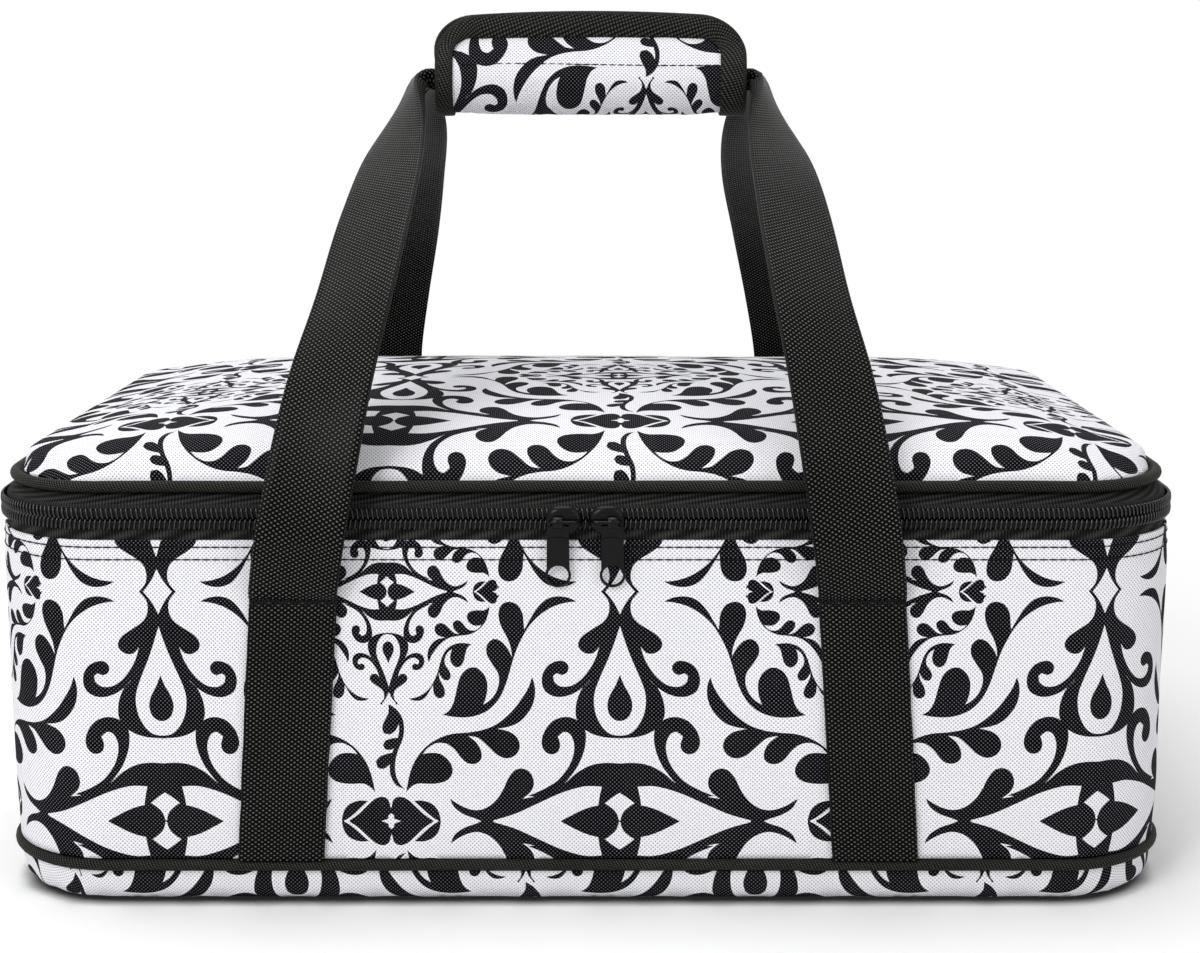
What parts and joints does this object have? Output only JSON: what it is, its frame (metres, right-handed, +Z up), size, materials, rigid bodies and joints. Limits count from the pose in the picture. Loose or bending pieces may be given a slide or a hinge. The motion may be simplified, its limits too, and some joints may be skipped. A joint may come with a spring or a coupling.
{
  "type": "insulated casserole carrier",
  "caption": "Padded fabric box for carrying a covered dish, with a lid zipped round three sides, webbing handles that meet in a wrap grip, and a black and white scroll print",
  "frame": {"origin": "middle of the flat bottom that the carrier rests on", "axes": "+X along the length, to the right as the zip sliders face the viewer; -Y towards the front with the sliders; +Z up"},
  "size_m": [0.414, 0.313, 0.3081],
  "materials": {
    "printed_cloth": "matt plain weave, white with a charcoal scroll print",
    "black_webbing": "matt polypropylene webbing with a coarse weave",
    "black_tape": "matt woven tape and binding",
    "zip_coil": "satin nylon coil",
    "foam": "soft closed-cell padding, hidden between cloth and liner",
    "liner": "smooth grey heat-reflecting film on cloth",
    "black_metal": "satin black enamel on cast sliders and pulls"
  },
  "bodies": {
    "tub": {"bottom_panel": "printed_cloth", "base_foam": "foam", "bottom_piping": "black_tape", "outer_wall": "printed_cloth", "wall_foam": "foam", "tub_liner": "liner", "tub_rim_binding": "black_tape", "lower_zip_tape": "black_tape", "lower_zip_coil": "zip_coil", "hinge_cloth_lower": "black_tape", "front_strap_left_sewn": "black_webbing", "front_strap_right_sewn": "black_webbing", "back_strap_left_sewn": "black_webbing", "back_strap_right_sewn": "black_webbing"},
    "lid": {"lid_panel": "printed_cloth", "lid_foam": "foam", "lid_liner": "liner", "lid_piping": "black_tape", "lid_seam_binding": "black_tape", "upper_zip_tape": "black_tape", "upper_zip_coil": "zip_coil", "hinge_cloth_upper": "black_tape"},
    "front_handle": {"front_handle_webbing": "black_webbing", "grip_front_cloth": "printed_cloth", "grip_front_padding": "foam", "grip_front_binding": "black_tape", "grip_hook_strip": "black_tape"},
    "back_handle": {"back_handle_webbing": "black_webbing"},
    "grip_flap": {"grip_back_cloth": "printed_cloth", "grip_back_padding": "foam", "grip_back_binding": "black_tape", "grip_loop_strip": "black_tape"},
    "left_slider": {"slider_left": "black_metal"},
    "left_pull": {"pull_left": "black_metal"},
    "right_slider": {"slider_right": "black_metal"},
    "right_pull": {"pull_right": "black_metal"}
  },
  "joints": [
    {"name": "lid_open", "type": "hinge", "parent": "tub", "child": "lid", "pos_m": [0, 0.1474, 0.1376], "axis": [-1, 0, 0], "range_deg": [0, 105]},
    {"name": "front_handle_fold", "type": "hinge", "parent": "tub", "child": "front_handle", "pos_m": [0, -0.1478, 0.1104], "axis": [1, 0, 0], "range_deg": [0, 140]},
    {"name": "back_handle_fold", "type": "hinge", "parent": "tub", "child": "back_handle", "pos_m": [0, 0.1478, 0.1104], "axis": [-1, 0, 0], "range_deg": [0, 140]},
    {"name": "grip_flap_open", "type": "hinge", "parent": "back_handle", "child": "grip_flap", "pos_m": [0, 0.01026, 0.27269], "axis": [-1, 0, 0], "range_deg": [0, 150]},
    {"name": "slider_left_slide", "type": "slide", "parent": "tub", "child": "left_slider", "axis": [-1, 0, 0], "range_m": [0, 0.15]},
    {"name": "slider_right_slide", "type": "slide", "parent": "tub", "child": "right_slider", "axis": [1, 0, 0], "range_m": [0, 0.15]},
    {"name": "pull_left_swing", "type": "hinge", "parent": "left_slider", "child": "left_pull", "pos_m": [-0.0092, -0.1507, 0.1376], "axis": [-1, 0, 0], "range_deg": [0, 160]},
    {"name": "pull_right_swing", "type": "hinge", "parent": "right_slider", "child": "right_pull", "pos_m": [0.0092, -0.1507, 0.1376], "axis": [-1, 0, 0], "range_deg": [0, 160]}
  ],
  "couplings": [
    {"joint": "front_handle_fold", "follows": "lid_open", "ratio": 1.3333},
    {"joint": "back_handle_fold", "follows": "lid_open", "ratio": 1.3333}
  ]
}
